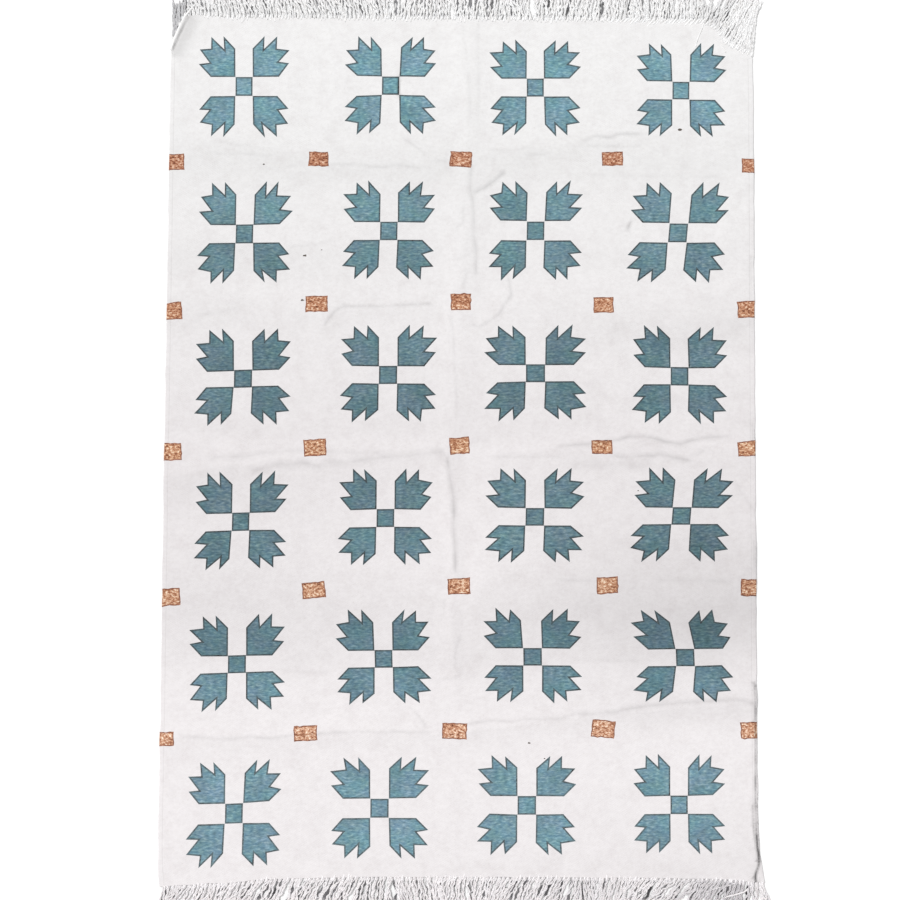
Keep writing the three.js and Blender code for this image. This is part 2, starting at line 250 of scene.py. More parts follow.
# Each figure, row by row from the head and left to right: how far the weaver set it off its
# place (dx, dy), its full width and height, how its upper and lower halves lean and how its
# crossbar slopes (millimetres in a hundred), then how far the crossbar is set toward the foot
# and how much wider it is than the square, to each side
FIGURES = [
    (0, 3, 190, 215, 0, 0, 0, 0, 0),
    (4, 5, 192, 209, 1, 1, 0, 0.4, 0),
    (4, -1, 190, 205, 0, 0, 0, -1.6, -0.3),
    (6, -5, 188, 200, 1, 2, -1, 0.8, 0.3),
    # the second row
    (3, -2, 193, 214, 2, 2, 1, 3.3, -1.5),
    (1, 3, 193, 208, 1, 3, 0, 2, -1.1),
    (4, 2, 195, 208, 1, 3, 0, 0.6, 1),
    (-2, -2, 206, 212, 9, 10, -1, 1.1, 0.7),
    # the third row
    (2, -4, 199, 201, 1, 2, 3, 4, -2.6),
    (0, 3, 201, 203, 1, 2, 1, 3.1, -1.2),
    (3, 5, 211, 201, 0, 0, 0, 1.7, -2),
    (-1, 0, 197, 206, 0, 1, -1, 3, -2.6),
    # the fourth row
    (-1, -8, 191, 204, 2, 2, 3, 2.4, -1.7),
    (-5, 0, 194, 200, 1, 1, 1, 2.8, -0.6),
    (1, 3, 204, 196, 2, 3, 0, 3.3, -0.6),
    (1, 4, 206, 195, 9, 9, 0, 2.4, -1.6),
    # the fifth row
    (-7, -11, 197, 197, 1, 0, 3, 3.2, -1.8),
    (-8, 1, 195, 195, -3, -2, 1, 4.1, -1.4),
    (-4, 4, 203, 193, -3, 1, 0, 3, -0.6),
    (10, 3, 203, 191, -21, 14, 0, 3.5, -0.7),
    # the row at the foot
    (-11, -14, 194, 217, 2, 1, 4, -1, 0),
    (-16, -1, 200, 206, 1, 0, 0, 1.6, 0.4),
    (-17, 4, 202, 203, 1, 1, 0, 0.7, -0.3),
    (-8, 6, 188, 202, 0, 0, 0, 1.5, -0.8),
]
FIGURE_SHAKE = 1.1  # how far each corner is off its rule

# The small rectangles between the figures, five to a row, from the head and left to right: x, y,
# wide, high, turn in degrees. The outer ones run off the sides.
RECTANGLES = [
    (-597, 604, 46, 36, 2), (-292, 610, 43, 32, -1), (7, 609, 48, 34, -4),
    (326, 611, 46, 31, 1), (620, 596, 46, 31, -2),
    (-599, 289, 46, 38, 5), (-295, 304, 48, 35, 0), (7, 308, 44, 36, 0),
    (306, 302, 43, 34, 0), (612, 293, 54, 37, 3),
    (-600, -6, 52, 38, 2), (-297, 3, 48, 37, 3), (4, 7, 43, 37, 5),
    (301, 4, 45, 31, 1), (610, 1, 54, 33, 4),
    (-602, -308, 54, 38, 3), (-298, -293, 49, 35, 6), (3, -285, 48, 35, 3),
    (311, -283, 46, 36, 3), (612, -288, 50, 37, -2),
    (-608, -600, 46, 31, 2), (-314, -588, 50, 33, 3), (-6, -583, 53, 35, -2),
    (301, -579, 50, 38, -5), (610, -582, 52, 35, 3),
]
RECTANGLE_EDGE = 2.6
RECTANGLE_TRIM = 1.7  # the table's sizes take in the blur of the edges
RECTANGLE_SHAKE = 0.6

# Small dark flecks caught in the weave: x, y, radius
FLECKS = [
    (467, 672, 4.6),
    (-537, -189, 1.8),
    (376, -87, 1.6),
    (-320, 406, 3.6),
    (-325, 312, 3.8),
    (-285, 418, 1.6),
    (-407, 599, 2.6),
    (148, -608, 2.6),
    (180, -640, 1.8),
]

# Fringe
BUNDLE_PITCH = 7.8
STRANDS = 2  # a bundle of warp ends parts into two strands of two yarns, over a single low one
YARNS = 2
YARN_RADIUS, LOW_YARN_RADIUS = 1.3, 2.1
YARNS_APART = 1.9  # at their roots
STRANDS_APART, PARTED_APART = 3.3, 4.4
STRAND_LEVELS = ((0.7, 1.5), (1.1, 2.8))  # how high each strand lies, from least to most
FRINGE_LENGTH = 75.0
YARN_RINGS, YARN_SIDES = 29, 4
ROOT_SHAKE = 0.9
CUT_CROWD, CUT_CROWDED = 0.6, (500, 595)  # how much closer the bundles lie at the cut corner
ROOT_BEND = 7.0  # length in which a yarn leaves the slant of its root
ROOT_DEPTH, WEAVE_DEPTH = 0.45, 1.2  # how deep a root lies, and how much deeper in the weave
GATHERED, TIP_DROP = 14, 18  # where a strand has come together, and the length of its tip
MOST_SPREAD = 40  # degrees of lean that count where the bundles are spaced out
STEEP = 50  # degrees that the rim turns at a corner before its yarns lie calm
LONG, LONG_CALM = 1.25, ((560, 592), (0.8, 0.3))  # long yarns lie calmer toward the corner's end
FLANK_LIGHT = ((0.4, 1.2, 2.0), (0.78, 0.94, 1.0))  # painted shade on the yarns' flanks, by height over the floor
# Swings along a yarn: length and size in degrees, each from least to most
SWINGS = ((12, 18, 3, 22), (19, 32, 3, 18), (40, 75, 4, 16))
GAP_LIGHT = {"head": (0.12, 0.36), "foot": (0.07, 0.26)}  # light left in the open gaps, painted on the low yarns as shade
LOW_LIGHT, TIP_LIGHT = (0.86, 1.0), 0.95  # light painted on the low yarns elsewhere, and at their tips
LEAN_GIVEN = 4  # columns of a row of leans that are always given


def leans(usual, *rows):
    """A table whose rows leave out, at their end, what is usual."""
    return table(*(row + usual[len(row) - LEAN_GIVEN :] for row in rows))


# How the fringe lies along each end: x, lean toward +X from straight out and slant of the roots
# in degrees, share of open gaps, then light, which is shade painted into the yarns' colour, how far
# the roots lie over the cloth in millimetres and length against other yarns, whose usual values come first
HEAD_LEANS = leans(
    (1, 1, 1),
    (-607, 2, 0, 1, 0.62, 1, 1.36),
    (-600, 3, 0, 1, 0.66, 1, 1.12),
    (-590, 3, 0, 1, 0.68, 1, 0.75),
    (-577, 0, 0, 0.8, 0.66, 1, 0.42),
    (-570, -10, 4, 0.6, 0.9, 1, 0.7),
    (-560, -22, 8, 0.3),
    (-500, -18, 10, 0.25),
    (-440, -16, 10, 0.6),
    (-380, -16, 5, 0.35),
    (-330, -20, 0, 0.55),
    (-290, -22, 0, 0.8),
    (-250, -26, 0, 0.8),
    (-205, -20, 10, 0.8),
    (-175, -12, 14, 0.8),
    (-145, -2, 18, 0.75),
    (-115, 8, 20, 0.65),
    (-83, 12, 20, 0.55),
    (-40, 0, 20, 0.25),
    (-12, -10, 10, 0.25),
    (20, 8, 20, 0.85),
    (60, 6, 20, 0.45),
    (85, 0, 20, 0.7),
    (120, -10, 12, 0.85),
    (150, -12, 12, 0.85),
    (185, 0, 20, 0.6),
    (290, 2, 20, 0.45, 1, 2),
    (350, -2, 42, 0.25, 1, 5),
    (420, -8, 42, 0.35, 1, 7),
    (470, -3, 42, 0.4, 1, 7),
    (500, 5, 42, 0.3, 0.95, 6),
    (518, 14, 40, 0.45, 0.93, 4, 1.1),
    (535, 26, 45, 0.8, 0.93, 3, 1.2),
    (552, 32, 45, 0.45, 1, 2, 1.4),
    (570, 31, 42, 0.15, 1, 2, 1.5),
    (592, 20, 30, 0.2, 1, 1, 1.5),
    (608, 11, 18, 0.2, 1, 1, 1.45),
    (624, 3, 6, 0.15, 0.95, 1, 1.4),
)
FOOT_LEANS = leans(
    (1, 0, 1),
    (-617, -4, -10, 0.4, 0.95),
    (-550, -32, -35, 0.45),
    (-515, -12, -20, 0.4),
    (-425, -30, -35, 0.55),
    (-320, -26, -30, 0.8),
    (-190, -24, -30, 0.85),
    (-168, -2, -20, 0.6),
    (-129, 0, -15, 0.45),
    (-94, 15, -15, 0.4),
    (-45, 14, -15, 0.5),
    (-26, -14, -30, 0.6),
    (15, 8, -30, 0.6),
    (67, -12, -30, 0.6),
    (108, -32, -40, 0.6, 0.97),
    (230, -28, -40, 0.6, 0.95),
    (268, 4, -20, 0.6, 0.92),
    (297, -8, -20, 0.6, 0.92),
    (345, -12, -30, 0.8, 0.95),
    (400, -36, -45, 0.95, 0.95),
    (460, -38, -50, 0.95, 0.92),
    (495, -36, -50, 0.6, 0.8),
    (540, -28, -40, 0.5, 0.75),
    (570, -19, -30, 0.5, 0.7),
    (590, -11, -15, 0.5, 0.7),
    (603, -4, -6, 0.4, 0.8),
    (614, 2, 0, 0.1, 0.97),
    (634, 12, 0, 0),
)
LEANS = {"head": HEAD_LEANS, "foot": FOOT_LEANS}
# Stray yarns that lie over the cloth or away from the rest: radius, then points (x, y, z)
LOOSE_YARN = {
    "head": [
        (0.9, (-440, 926, 3), (-444, 917, 4.6), (-449, 909, 4.8), (-457, 900, 4.4)),
        (0.6, (99, 904, 4), (97, 894, 4.5), (99, 886, 4.3), (103, 880, 3.9)),
        (0.8, (520, 900, 3.6), (516, 888, 4.8), (510, 874, 4.6), (504, 858, 4.4), (503, 850, 4)),
        (0.9, (556, 868, 4), (560, 852, 4.8), (566, 838, 4.3)),
        (1.1, (604, 838, 4), (592, 856, 5.4), (583, 872, 5.6), (574, 892, 4)),
        (2.6, (-605, 842, 4), (-597, 867, 6), (-586, 893, 6.4), (-577, 912, 6), (-566, 926, 5),
         (-556, 940, 3)),
    ],
    "foot": [
        (1.9, (604, -900, 3.4), (590, -912, 4.9), (572, -917, 5.3), (552, -922, 4.9), (538, -932, 3.4)),
        (1.2, (575, -893, 3), (552, -901, 4.4), (530, -905, 4), (505, -915, 2)),
    ],
}


def read(rows, at, column):
    """A column of a table at given values of its first column."""
    return np.interp(at, rows[:, 0], rows[:, column])


def eased(rows, at, column):
    """The same, eased between the rows."""
    i = np.clip(np.searchsorted(rows[:, 0], at) - 1, 0, len(rows) - 2)
    t = smoothstep(at, rows[i, 0], rows[i + 1, 0])
    return rows[i, column] * (1 - t) + rows[i + 1, column] * t


def smoothstep(x, low, high):
    t = np.clip((x - low) / (high - low), 0, 1)
    return t * t * (3 - 2 * t)


def sums(parts):
    """Running totals, from nothing."""
    return np.concatenate([np.zeros_like(parts[:1]), np.cumsum(parts, axis=0)])


def lengths(line):
    return np.linalg.norm(np.diff(line, axis=0), axis=1)


def unit(vectors):
    return vectors / np.linalg.norm(vectors, axis=-1)[..., None]


def plan(share, along):
    """Where a share of the width and a place along the rug lie, seen from above."""
    share, along = np.broadcast_arrays(np.asarray(share, float), np.asarray(along, float))
    left = read(SIDES, along, 1)
    right = read(SIDES, along, 2)
    to_head = smoothstep(along, HEAD_LINE - END_BLEND, HEAD_LINE)
    to_foot = 1 - smoothstep(along, FOOT_LINE, FOOT_LINE + END_BLEND)
    bow = to_head * eased(ENDS, share, 1) - to_foot * eased(ENDS, share, 2)
    return np.stack([left + (right - left) * share, along + bow], axis=-1)


def steps(low, high, step):
    return np.linspace(low, high, max(2, round(abs(high - low) / step) + 1))


def wobble(count, size, waves, seed):
    """A smooth closed wander round a loop of points."""
    r = np.random.default_rng(seed)
    t = np.arange(count) / count * TURN
    out = np.zeros(count)
    for k in waves:
        out += np.sin(t * k + r.uniform(0, TURN)) * r.uniform(0.5, 1.0)
    return out * size / math.sqrt(len(waves))


def rim_loop():
    """The cloth's outline, counterclockwise from the left corner of its foot end."""
    shares = steps(0, 1, RIM_STEP * MM / SHEET_FLAT[0])
    rows = steps(FOOT_LINE, HEAD_LINE, RIM_STEP)
    parts = [
        plan(shares[:-1], FOOT_LINE),
        plan(1.0, rows[:-1]),
        plan(shares[::-1][:-1], HEAD_LINE),
        plan(0.0, rows[::-1][:-1]),
    ]
    return np.concatenate(parts)


def rim_path(which):
    """The cloth's rim along an end, left to right as seen from outside it, as points."""
    shares = steps(0, 1, 0.004)
    if which == "foot":
        return plan(shares[::-1], FOOT_LINE)
    left = plan(0.0, steps(ROLLED_FROM, HEAD_LINE, 4)[:-1])
    right = plan(1.0, steps(HEAD_LINE, CUT_FROM, 4)[1:])
    return np.concatenate([left, plan(shares, HEAD_LINE), right])


def inward(loop):
    """Unit vectors into a counterclockwise loop, mitred at its corners."""
    before = unit(loop - np.roll(loop, 1, axis=0))
    after = unit(np.roll(loop, -1, axis=0) - loop)
    a, b = (np.stack([-d[:, 1], d[:, 0]], axis=1) for d in (before, after))
    return (a + b) / (1 + (a * b).sum(axis=1))[:, None]


def inside(points, polygon):
    """Which points lie in a polygon, by counting crossings."""
    x, y = points.T
    odd = np.zeros(len(points), bool)
    for (x0, y0), (x1, y1) in zip(polygon, np.roll(polygon, -1, axis=0)):
        if y0 == y1:
            continue
        over = (y0 > y) != (y1 > y)
        odd ^= over & (x < (x1 - x0) * (y - y0) / (y1 - y0) + x0)
    return odd


def shrunk(polygon, by):
    """A polygon moved in by a distance, with mitred corners."""
    area = np.sum(polygon[:, 0] * np.roll(polygon[:, 1], -1) - np.roll(polygon[:, 0], -1) * polygon[:, 1])
    loop = polygon if area > 0 else polygon[::-1]
    return loop + inward(loop) * by


def spaced(line, step, start=0.5, offset=0.0):
    """Points along a run of points, set off to its left."""
    line = np.asarray(line, float)
    out = []
    for a, b in zip(line[:-1], line[1:]):
        run = b - a
        length = float(np.linalg.norm(run))
        n = max(1, round(length / step))
        side = np.array([-run[1], run[0]]) / length
        out += [a + run * (i + start) / n + side * offset for i in range(n)]
    return np.array(out)


def split(polygon, step):
    """A polygon with points added along its sides."""
    return spaced([*polygon, polygon[0]], step, 0)


def to_line(points, line):
    """Distance from each point to a run of points, and how far the point is past its ends."""
    line = np.asarray(line, float)
    best = np.full(len(points), np.inf)
    past = np.zeros(len(points))
    last = len(line) - 2
    for i, (a, b) in enumerate(zip(line[:-1], line[1:])):
        run = b - a
        length = np.linalg.norm(run)
        run = run / length
        along = (points - a) @ run
        away = np.abs((points - a) @ np.array([-run[1], run[0]]))
        before = np.maximum(-along, 0)
        after = np.maximum(along - length, 0)
        # the first and last stretch run on without end
        d = np.hypot(away, before * (i > 0) + after * (i < last))
        beyond = before * (i == 0) + after * (i == last)
        past = np.where(d < best, beyond, past)
        best = np.minimum(best, d)
    return best, past


# The sheet's heights and light
def swell(points):
    """The slow unevenness of a cloth that doesn't lie quite flat."""
    x, y = points.T
    r = np.random.default_rng(77)
    out = np.zeros(len(points))
    for wave in (620, 410, 300, 210, 150):
        angle, phase = r.uniform(0, math.pi), r.uniform(0, TURN)
        across = x * math.cos(angle) + y * math.sin(angle)
        bend = 0.6 * np.sin((x * math.sin(angle) - y * math.cos(angle)) * TURN / (wave * 1.7) + phase)
        out += np.sin(across * TURN / wave + phase + bend) * (wave / 620) ** 1.1
    for wave, size in ((96, 0.16), (71, 0.13), (52, 0.10), (47, 0.08)):
        for turn in range(3):
            angle, phase = r.uniform(0, math.pi), r.uniform(0, TURN)
            across = x * math.cos(angle) + y * math.sin(angle)
            out += size * np.sin(across * TURN / wave + phase + np.sin(y / 83 + x / 97 + turn * 2))
    return np.clip(out, 0, None)


def lift(points):
    """Height of the underside: zero where the cloth lies on the floor."""
    up = np.zeros(len(points))
    for height, reach, point, *line in FOLDS:
        away, past = to_line(points, line)
        t = np.clip(1 - away / reach, 0, 1)
        form = t**point * (2 - t ** (point * 0.5)) if point < 1.55 else t**point
        up = np.maximum(up, height * form * (1 - smoothstep(past, 0, FOLD_FADE)))
    return up + swell(points)


def pressed(points):
    """How far the upper face is pressed in along the creases, and the light lost there, painted into the
    colour as shade (at the marks, the cloth's own darker colour).
    """
    down, dark = np.zeros(len(points)), np.zeros(len(points))
    x, y = points.T
    uneven = 0.78 + 0.16 * np.sin(x / 9.7 + y / 7.9) + 0.14 * np.sin(x / 23.1 - y / 19.3 + 1.7)
    for depth, reach, lost, *line in CREASES:
        away, past = to_line(points, line)
        fade = (1 - smoothstep(past, 0, CREASE_FADE)) * uneven
        near = np.clip(1 - away / reach, 0, 1) ** 1.4
        down = np.maximum(down, depth * near * fade)
        dark = np.maximum(dark, lost * near * fade)
    return down, np.minimum(dark, MOST_DARK)


def toned(points):
    """The light left on the broad bands across the rug and beside the rolled corner, painted into the
    colour as shade.
    """
    x, y = points.T
    wander = 9 * np.sin(x / 61.0 + 0.8) + 6 * np.sin(x / 27.0 + y / 90.0)
    light = np.ones(len(points))
    for along, half, *lost in SHADES:
        light *= 1 - np.interp(x, SHADE_PLACES, lost) * np.exp(-np.abs((y + wander - along) / half) ** 2.6)
    away, _ = to_line(points, ROLL_RIM)
    inner = smoothstep(away, 4.5, 8) * (1 - smoothstep(away, 9, ROLL_REACH)) * (y > 830)
    return light * (1 - ROLL_SHADE * inner)


def rolled(points):
    """Extra height of the upper face beside the rolled corner."""
    away, past = to_line(points, ROLL_RIM)
    fade = 1 - smoothstep(past, 0, 26)
    tube = ROLL_HEIGHT * np.exp(-((np.maximum(away - 3.2, 0) / (ROLL_WIDE * 0.5)) ** 2))
    slope = ROLL_SLOPE * (1 - smoothstep(away, 8, ROLL_REACH)) * smoothstep(away, 5.5, 10.5)
    return (tube + slope) * fade


# The figures' outlines
def figure_shapes():
    """Outlines of all paws and squares."""
    r = np.random.default_rng(31)
    out = []
    for number, (dx, dy, wide, high, upper, lower, slope, low, wider) in enumerate(FIGURES):
        row, column = divmod(number, COLUMNS)
        middle = np.array([FIRST_COLUMN + COLUMN_PITCH * column + dx, ROW_PLACES[row] + dy - low])
        half = np.array(SQUARE) / 2 * np.array([wide / USUAL_SIZE[0], high / USUAL_SIZE[1]])
        inner = half + np.array([PAW_GAP, max(PAW_GAP, wider) if wider > 0 else wider])

        def place(p):
            lean = (upper if p[1] > 0 else lower) / 100
            return middle + np.array([p[0] + p[1] * lean, p[1] + p[0] * slope / 100])

        for sx in (-1, 1):
            for sy in (-1, 1):
                corners = []
                claw = (np.array([wide / 2, high / 2 + sy * low]) - inner) / 3
                for corner in PAW:
                    p = np.array([sx, sy]) * (inner + np.array(corner) * claw)
                    shake = r.normal(0, FIGURE_SHAKE, 2) if any(corner) else 0
                    corners.append(place(p + shake))
                out.append(np.array(corners))
        out.append(np.array([place(half * np.array(c)) for c in BOX]))
    return out


def rectangle_shapes():
    r = np.random.default_rng(53)
    out = []
    for x, y, wide, high, turn in RECTANGLES:
        c, s = math.cos(math.radians(turn)), math.sin(math.radians(turn))
        ring = split(np.array(BOX) * (wide - RECTANGLE_TRIM, high - RECTANGLE_TRIM) / 2, 7)
        ring = ring + r.normal(0, RECTANGLE_SHAKE, ring.shape)
        a, b = ring[:, 0], ring[:, 1]
        out.append(np.stack([x + a * c - b * s, y + a * s + b * c], axis=1))
    return out


def fleck_shapes():
    r = np.random.default_rng(5)
    out = []
    for x, y, radius in FLECKS:
        t = np.arange(7) / 7 * TURN
        size = radius * r.uniform(0.55, 1.15, 7)
        out.append(np.stack([x + np.cos(t) * size * 1.25, y + np.sin(t) * size * 0.75], axis=1))
    return out


GROUND, TEAL, LINE, COPPER, EDGE, FLECK = range(6)


class PlanPoints:
    """The sheet's points, in cells that tell which places are still free."""

    CELL = 4.0

    def __init__(self):
        self.points = []
        self.edges = []
        self.near = {}

    def cell(self, p):
        return int(p[0] // self.CELL), int(p[1] // self.CELL)

    def add(self, p):
        self.points.append((float(p[0]), float(p[1])))
        self.near.setdefault(self.cell(p), []).append(self.points[-1])

    def add_loop(self, loop):
        start, n = len(self.points), len(loop)
        for p in loop:
            self.add(p)
        self.edges.extend((start + i, start + (i + 1) % n) for i in range(n))

    def is_free(self, p, gap):
        i, j = self.cell(p)
        n = int(gap // self.CELL) + 1
        return all(
            (x - p[0]) ** 2 + (y - p[1]) ** 2 >= gap * gap
            for a in range(i - n, i + n + 1)
            for b in range(j - n, j + n + 1)
            for x, y in self.near.get((a, b), ())
        )

    def fill(self, places, gap):
        for p in places:
            if self.is_free(p, gap):
                self.add(p)

    def fill_beside(self, line, offset, step, gap):
        for side in (-1, 1) if offset else (1,):
            self.fill(spaced(line, step, offset=offset * side), gap)


def make_sheet():
    """Points, triangles and colour regions of the sheet's plan."""
    rim = rim_loop()
    wander = wobble(len(rim), RIM_WANDER, RIM_WAVES, 3)
    rim = rim + inward(rim) * (RIM_IN + wander[:, None])
    plane = PlanPoints()
    plane.add_loop(rim)
    regions = []
    for shape in figure_shapes():
        line = shrunk(shape, LINE_WIDE)
        regions += [(shape, LINE), (line, TEAL)]
        plane.add_loop(split(shape, OUTLINE_STEP))
        plane.add_loop(split(line, OUTLINE_STEP))
    for shape in rectangle_shapes():
        core = shrunk(shape, RECTANGLE_EDGE)
        regions += [(shape, EDGE), (core, COPPER)]
        plane.add_loop(shape)
        plane.add_loop(core)
    for shape in fleck_shapes():
        regions.append((shape, FLECK))
        plane.add_loop(shape)
    for ring in RIM_RINGS:
        plane.fill((rim + inward(rim) * ring)[:: 1 if ring < 4 else 2], 0.45)
    for _, reach, _, *line in CREASES:
        for offset, step, gap in ((0, 5, 0.7), (0.35 * reach, 7, 1.6), (reach, 9, 1.6)):
            plane.fill_beside(line, offset, step, gap)
    for offset in ROLL_OFFSETS:
        plane.fill(spaced(ROLL_RIM, 6, offset=-offset), 1.4)
    for _, _, _, *line in FOLDS:
        for offset in (0, 5, 12):
            plane.fill_beside(line, offset, 9, 3.2)
    for j, y in enumerate(np.arange(-905, 925, MESH_STEP * 0.9)):
        row = np.arange(-620, 632, MESH_STEP) + (MESH_STEP / 2 if j % 2 else 0)
        plane.fill([(x + 0.13 * math.sin(y), y + 0.13 * math.cos(x)) for x in row], 4.4)

    points = [Vector(p) for p in plane.points]
    vertices, _, faces, _, _, _ = delaunay_2d_cdt(points, plane.edges, [], 0, 1e-4)
    vertices = np.array([tuple(v) for v in vertices])
    faces = np.array([f for f in faces if len(f) == 3])
    corner = vertices[faces]
    centres = corner.mean(axis=1)
    ab, ac = corner[:, 1] - corner[:, 0], corner[:, 2] - corner[:, 0]
    area = (ab[:, 0] * ac[:, 1] - ab[:, 1] * ac[:, 0]) / 2
    keep = inside(centres, rim) & (np.abs(area) > 1e-4)
    faces[area < 0] = faces[area < 0][:, ::-1]
    faces, centres = faces[keep], centres[keep]
    colour = np.full(len(faces), GROUND, np.int32)
    for shape, kind in regions:
        low, high = shape.min(axis=0), shape.max(axis=0)
        close = np.flatnonzero(((centres >= low) & (centres <= high)).all(axis=1))
        colour[close[inside(centres[close], shape)]] = kind
    used = np.unique(faces)
    index = np.full(len(vertices), -1)
    index[used] = np.arange(len(used))
    return vertices[used], index[faces], colour, rim


def new_mesh(name, vertices, triangles, slots=None):
    """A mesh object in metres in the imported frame."""
    mesh = bpy.data.meshes.new(name)
    mesh.from_pydata(vertices, [], triangles, shade_flat=False)
    if slots is not None:
        mesh.polygons.foreach_set("material_index", slots.astype(np.int32))
    mesh.validate()
    piece = bpy.data.objects.new(name, mesh)
    bpy.context.scene.collection.objects.link(piece)
    return piece


def set_floats(piece, name, values):
    attribute = piece.data.attributes.new(name, "FLOAT", "POINT")
    attribute.data.foreach_set("value", np.ascontiguousarray(values, np.float32))


# From the tables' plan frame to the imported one: the cloth's lowest x and y are the same in both
outline = rim_loop()
cloth_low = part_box("rug_cloth")[0]
SHIFT = np.array([cloth_low[0] / MM - outline[:, 0].min(), cloth_low[1] / MM - outline[:, 1].min()])


def packed(points, height):
    """Points of the plan with their heights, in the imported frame."""
    return np.column_stack([(points + SHIFT) * MM, height * MM])


def sides_of(triangle):
    a, b, c = triangle
    return (a, b), (b, c), (c, a)


def walls(triangles, colour, n):
    """The strip that joins the upper face's rim to the lower face's, n points on."""
    all_sides = {side for triangle in triangles for side in sides_of(triangle)}
    faces, slots = [], []
    for triangle, slot in zip(triangles, colour):
        for i, j in sides_of(triangle):
            if (j, i) not in all_sides:
                faces += [(i, i + n, j + n), (i, j + n, j)]
                slots += [slot] * 2
    return np.array(faces), slots


def rim_distance(points, rim):
    rim = split(rim, 2.0)
    tree = kdtree.KDTree(len(rim))
    for i, p in enumerate(rim):
        tree.insert((p[0], p[1], 0.0), i)
    tree.balance()
    away = np.array([tree.find((p[0], p[1], 0.0))[2] for p in points])
    return np.where(away < 0.05, 0, away)


def build_cloth():
    points, triangles, colour, rim = make_sheet()
    x, y = points.T
    edge = rim_distance(points, rim)
    depth = np.clip(edge / RIM_ROUND, 0, 1)
    # the selvedges are rounded, the ends where the yarns leave the weave hardly
    at_end = np.maximum(smoothstep(y, 880, 900), 1 - smoothstep(y, -884, -868))
    least = RIM_THICK + END_THICKER * at_end
    half = CLOTH_THICK / 2 * (least + (1 - least) * np.sqrt(1 - (1 - depth) ** 2))
    middle = lift(points) + CLOTH_THICK / 2
    down, dark = pressed(points)
    top = middle + half - down + rolled(points) * np.clip(0.25 + edge / 3, 0, 1)
    bottom = np.maximum(middle - half, 0)
    n = len(points)
    wall_faces, wall_slots = walls(triangles, colour, n)
    vertices = np.concatenate([packed(points, top), packed(points, bottom)])
    faces = np.concatenate([triangles, triangles[:, ::-1] + n, wall_faces])
    slots = np.concatenate([colour, colour, wall_slots])
    piece = new_mesh("cotton_sheet", vertices, faces, slots)
    from_side = np.minimum(x - read(SIDES, y, 1), read(SIDES, y, 2) - x)
    from_side = np.where((y > CUT_FROM) & (x > 0), SIDE_REACH, from_side)
    set_floats(piece, "from_side", np.tile(np.clip(from_side, 0, SIDE_REACH), 2))
    # painted shade along the creases, with the marks' own darker colour, carried to the materials
    set_floats(piece, "painted_crease_shade_and_marks", np.tile(1 - dark, 2))
    # painted shade over the broad bands and beside the rolled corner, carried to the materials
    set_floats(piece, "painted_band_shade", np.tile(toned(points), 2))
    print("cloth", len(vertices), "vertices", len(faces), "triangles")
    return piece


# Yarn
def tubes(paths, radii, sides):
    """Closed tubes round many paths of equal length: vertices and triangles, with end caps."""
    n, rings, _ = paths.shape
    run = unit(np.gradient(paths, axis=1))
    flat = np.cross(run, np.array([0, 0, 1.0]))
    flat /= np.linalg.norm(flat, axis=2)[..., None] + 1e-9
    up = np.cross(flat, run)
    angle = (np.arange(sides) / sides * TURN)[:, None]
    away = np.cos(angle) * flat[:, :, None, :] + np.sin(angle) * up[:, :, None, :]
    vertices = (paths[:, :, None, :] + radii[:, :, None, None] * away).reshape(-1, 3)
    base = (np.arange(n) * rings * sides)[:, None, None] + (np.arange(rings - 1) * sides)[None, :, None]
    k = np.arange(sides)[None, None, :]
    k1 = (k + 1) % sides
    quads = np.stack([base + k, base + k + sides, base + k1 + sides, base + k1], axis=-1).reshape(-1, 4)
    caps = []
    for first in range(0, n * rings * sides, rings * sides):
        end = first + (rings - 1) * sides
        for j in range(1, sides - 1):
            caps += [(first, first + j, first + j + 1), (end, end + j + 1, end + j)]
    return vertices, np.concatenate([quads[:, [0, 1, 2]], quads[:, [0, 2, 3]], np.array(caps)])


def heading(angle, outward):
    return np.stack([np.sin(angle), outward * np.cos(angle)], axis=1)


def at_places(at, total, rows):
    """The columns of a table where its running length reaches given values."""
    return np.stack([np.interp(at, total, column) for column in rows.T], axis=-1)


def waved(r, s, short, long, least, most):
    """An angle in degrees that swings along a yarn, starting from nothing at its root."""
    turn = TURN / r.uniform(short, long)
    return r.uniform(least, most) * np.sin(s * turn + r.uniform(0, TURN)) * np.clip(s / 10, 0, 1)


def bundle_roots(r, which, outward):
    """Where the bundles leave the rim, and the way the rim runs there."""
    path = rim_path(which)
    gaps = lengths(path)
    total = sums(gaps)
    # roots are spaced square to the way the yarn leaves, so that steep stretches hold fewer
    run = unit(np.gradient(path, axis=0))
    lean = np.clip(read(LEANS[which], path[:, 0], 1), -MOST_SPREAD, MOST_SPREAD)
    way = heading(np.radians(lean), outward)
    square = np.maximum(np.abs(run[:, 0] * way[:, 1] - run[:, 1] * way[:, 0]), 0.55)
    if which == "head":
        square = square * (1 + CUT_CROWD * smoothstep(path[:, 0], *CUT_CROWDED))
    spread = sums(gaps * (square[1:] + square[:-1]) / 2)
    bundles = int(spread[-1] / BUNDLE_PITCH)
    wanted = (np.arange(bundles) + 0.5) * BUNDLE_PITCH + r.normal(0, ROOT_SHAKE, bundles)
    at = np.interp(wanted, spread, total)
    return at_places(at, total, path), at_places(at, total, run)


def strand_line(r, s, outward, root, in_cloth, slant, lean, calm):
    """The middle of a strand, through its root at s = 0, and the way across it."""
    bend = np.exp(-np.maximum(s, 0) / ROOT_BEND)
    angle = slant * bend + lean * (1 - bend)
    angle += sum(waved(r, s, *swing) for swing in SWINGS) * calm
    angle = np.radians(np.where(s < -0.5, in_cloth, angle))
    core = sums(heading(angle, outward)[:-1] * (s[1] - s[0]))
    across = np.stack([np.cos(angle), -outward * np.sin(angle)], axis=1)
    return core + (root - at_places(0, s, core)), across


